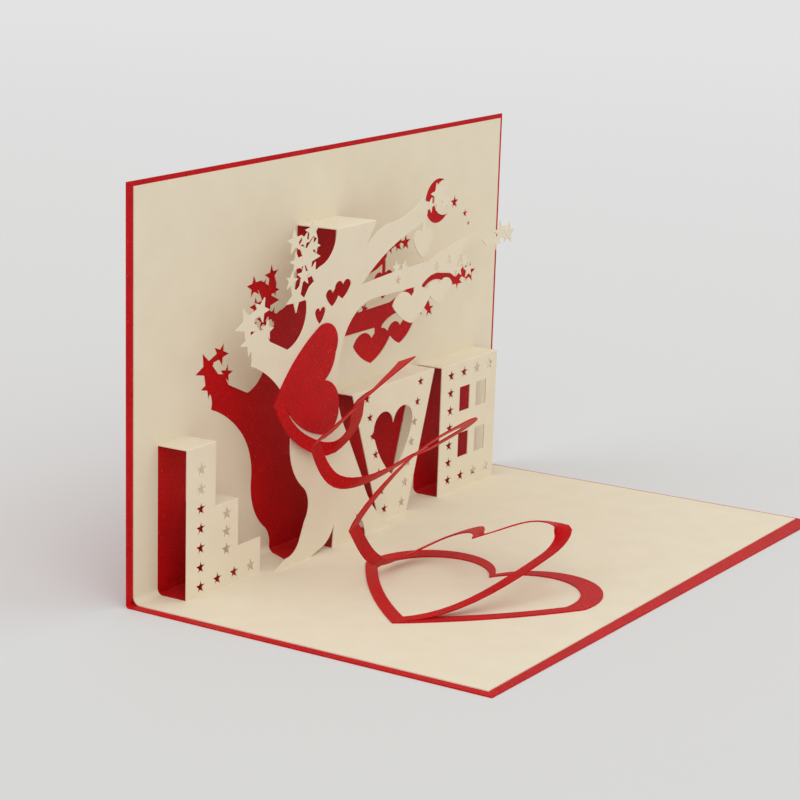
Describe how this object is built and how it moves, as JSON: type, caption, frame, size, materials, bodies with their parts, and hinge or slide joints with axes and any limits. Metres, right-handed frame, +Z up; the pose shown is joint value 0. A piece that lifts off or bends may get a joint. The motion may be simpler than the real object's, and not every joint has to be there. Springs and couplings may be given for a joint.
{
  "type": "pop-up card",
  "caption": "Folded greeting card standing open, with a cut paper tree and stepped blocks rising at the fold and a stretched heart-shaped spiral in front.",
  "frame": {"origin": "centre of the bounding box in plan, on the table", "axes": "+X along the spine to the reader's right, -Y towards the reader, +Z up"},
  "size_m": [0.15, 0.1002, 0.0987],
  "materials": {
    "cover_card": "pearlescent red card",
    "sheet_paper": "matt cream paper",
    "spiral_card": "pearlescent red card"
  },
  "bodies": {
    "root": {"cover": "cover_card", "pop_up_sheet": "sheet_paper", "heart_spiral": "spiral_card"}
  },
  "joints": []
}
